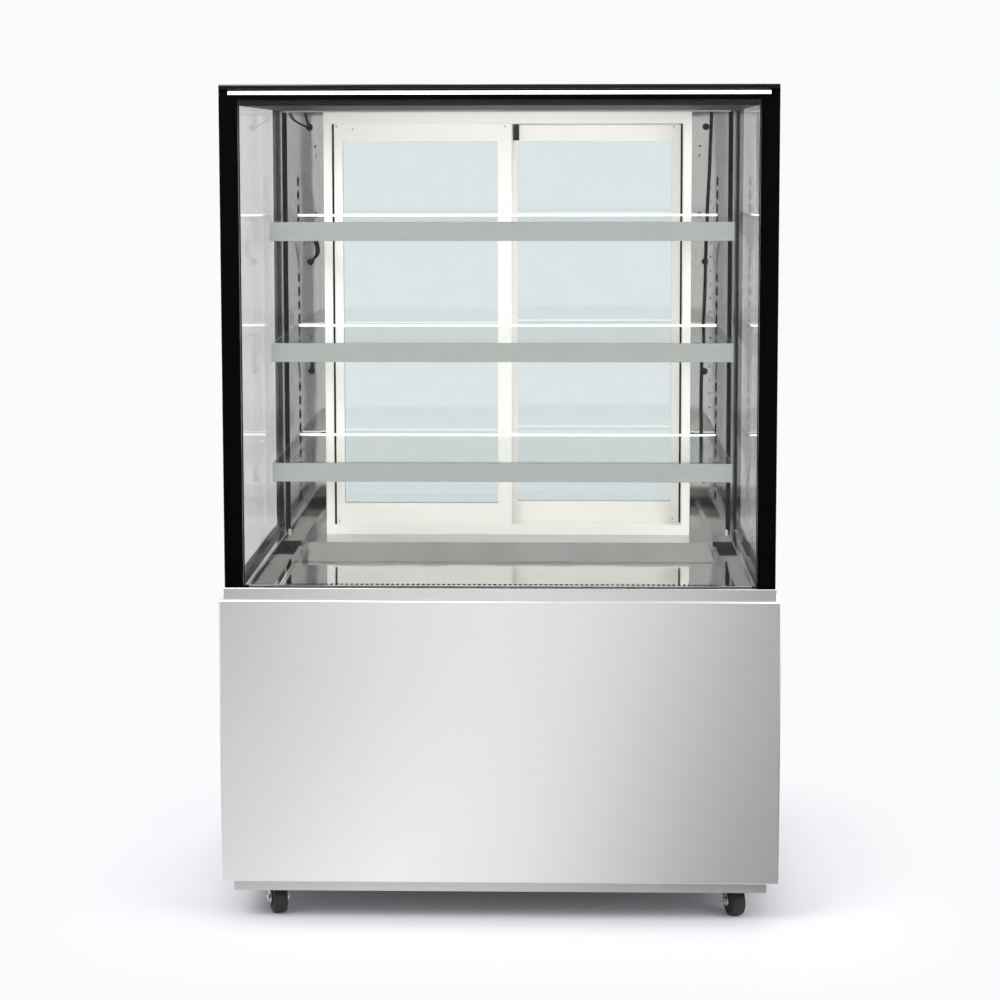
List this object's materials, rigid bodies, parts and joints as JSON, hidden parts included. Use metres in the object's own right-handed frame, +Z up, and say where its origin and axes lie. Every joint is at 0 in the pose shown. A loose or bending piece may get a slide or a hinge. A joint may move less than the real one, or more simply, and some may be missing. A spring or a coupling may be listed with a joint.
{
  "type": "refrigerated cake display case",
  "caption": "Upright glass cake display case on castors, with lit glass shelves, a polished deck, sliding rear doors and a refrigerated base.",
  "frame": {"origin": "on the floor under the middle of the case", "axes": "+Z up, the customer's glass front faces -Y, the sliding doors face +Y, X runs across the width"},
  "size_m": [0.9, 0.675, 1.35],
  "materials": {
    "panel_steel": "finely brushed stainless sheet",
    "polished_steel": "polished stainless sheet",
    "shelf_steel": "satin stainless",
    "white_aluminium": "white powder coat",
    "clear_glass": "clear float glass",
    "black_border": "black enamel behind glass",
    "light_diffuser": "opal diffuser",
    "black_rubber": "matt black",
    "black_cap": "gloss black",
    "dark_ceiling": "satin dark grey",
    "black_plastic": "fine texture",
    "switch_plastic": "gloss",
    "liner": "foamed liner",
    "coil_metal": "mill finish",
    "compressor_paint": "black enamel",
    "copper": "drawn copper tube",
    "zinc_steel": "bright zinc plate",
    "wheel_tread": "black rubber tread"
  },
  "bodies": {
    "cabinet": {"air_grille": "polished_steel", "cable_gland": "black_plastic", "canopy": "black_cap", "castor_plates": "zinc_steel", "ceiling": "dark_ceiling", "chassis_tray": "panel_steel", "compressor": "compressor_paint", "condenser_coil": "coil_metal", "condenser_cowl": "coil_metal", "controls": "black_plastic", "copper_lines": "copper", "deck_plate": "polished_steel", "door_frame": "white_aluminium", "drain_tray": "black_plastic", "evaporator": "coil_metal", "front_border": "black_border", "front_glass": "clear_glass", "front_panel": "panel_steel", "grommets": "black_rubber", "lamps": "light_diffuser", "leads": "black_rubber", "light_line": "light_diffuser", "post_left": "polished_steel", "post_right": "polished_steel", "rear_ledge": "polished_steel", "rear_panel": "panel_steel", "shelf_brackets": "shelf_steel", "shelf_glass_1": "clear_glass", "shelf_glass_2": "clear_glass", "shelf_glass_3": "clear_glass", "shelf_rail_1": "shelf_steel", "shelf_rail_2": "shelf_steel", "shelf_rail_3": "shelf_steel", "side_glass_left": "clear_glass", "side_glass_right": "clear_glass", "side_ledge_left": "polished_steel", "side_ledge_right": "polished_steel", "side_panel_left": "panel_steel", "side_panel_right": "panel_steel", "side_rail_left": "polished_steel", "side_rail_right": "polished_steel", "side_seals": "black_rubber", "sill": "panel_steel", "well_shell": "liner"},
    "door_left": {"door_left": "white_aluminium", "door_glass_left": "clear_glass"},
    "door_right": {"door_right": "white_aluminium", "door_glass_right": "clear_glass"},
    "power_switch": {"power_switch": "switch_plastic"},
    "light_switch": {"light_switch": "switch_plastic"},
    "condenser_fan": {"condenser_fan": "black_plastic"},
    "evaporator_fan": {"evaporator_fan": "black_plastic"},
    "castor_front_left": {"castor_fork_front_left": "zinc_steel"},
    "wheel_front_left": {"castor_wheel_front_left": "wheel_tread"},
    "castor_front_right": {"castor_fork_front_right": "zinc_steel"},
    "wheel_front_right": {"castor_wheel_front_right": "wheel_tread"},
    "castor_back_left": {"castor_fork_back_left": "zinc_steel"},
    "wheel_back_left": {"castor_wheel_back_left": "wheel_tread"},
    "castor_back_right": {"castor_fork_back_right": "zinc_steel"},
    "wheel_back_right": {"castor_wheel_back_right": "wheel_tread"}
  },
  "joints": [
    {"name": "door_left_slide", "type": "slide", "parent": "cabinet", "child": "door_left", "axis": [1, 0, 0], "range_m": [0, 0.316]},
    {"name": "door_right_slide", "type": "slide", "parent": "cabinet", "child": "door_right", "axis": [1, 0, 0], "range_m": [-0.316, 0]},
    {"name": "power_switch_tip", "type": "hinge", "parent": "cabinet", "child": "power_switch", "pos_m": [0.33, 0.3275, 0.47], "axis": [1, 0, 0], "range_deg": [-16, 0]},
    {"name": "light_switch_tip", "type": "hinge", "parent": "cabinet", "child": "light_switch", "pos_m": [0.37, 0.3275, 0.47], "axis": [1, 0, 0], "range_deg": [-16, 0]},
    {"name": "condenser_fan_spin", "type": "hinge", "parent": "cabinet", "child": "condenser_fan", "pos_m": [0.09, 0.188, 0.175], "axis": [0, 1, 0], "continuous": true},
    {"name": "evaporator_fan_spin", "type": "hinge", "parent": "cabinet", "child": "evaporator_fan", "pos_m": [0, 0.107, 0.43], "axis": [0, 1, 0], "continuous": true},
    {"name": "castor_swivel_front_left", "type": "hinge", "parent": "cabinet", "child": "castor_front_left", "pos_m": [-0.374, -0.247, 0.055], "axis": [0, 0, 1], "continuous": true},
    {"name": "castor_roll_front_left", "type": "hinge", "parent": "castor_front_left", "child": "wheel_front_left", "pos_m": [-0.36535, -0.27363, 0.025], "axis": [0.9511, 0.309, 0], "continuous": true},
    {"name": "castor_swivel_front_right", "type": "hinge", "parent": "cabinet", "child": "castor_front_right", "pos_m": [0.374, -0.247, 0.055], "axis": [0, 0, 1], "continuous": true},
    {"name": "castor_roll_front_right", "type": "hinge", "parent": "castor_front_right", "child": "wheel_front_right", "pos_m": [0.38265, -0.27363, 0.025], "axis": [0.9511, 0.309, 0], "continuous": true},
    {"name": "castor_swivel_back_left", "type": "hinge", "parent": "cabinet", "child": "castor_back_left", "pos_m": [-0.374, 0.262, 0.055], "axis": [0, 0, 1], "continuous": true},
    {"name": "castor_roll_back_left", "type": "hinge", "parent": "castor_back_left", "child": "wheel_back_left", "pos_m": [-0.36535, 0.23537, 0.025], "axis": [0.9511, 0.309, 0], "continuous": true},
    {"name": "castor_swivel_back_right", "type": "hinge", "parent": "cabinet", "child": "castor_back_right", "pos_m": [0.374, 0.262, 0.055], "axis": [0, 0, 1], "continuous": true},
    {"name": "castor_roll_back_right", "type": "hinge", "parent": "castor_back_right", "child": "wheel_back_right", "pos_m": [0.38265, 0.23537, 0.025], "axis": [0.9511, 0.309, 0], "continuous": true}
  ]
}
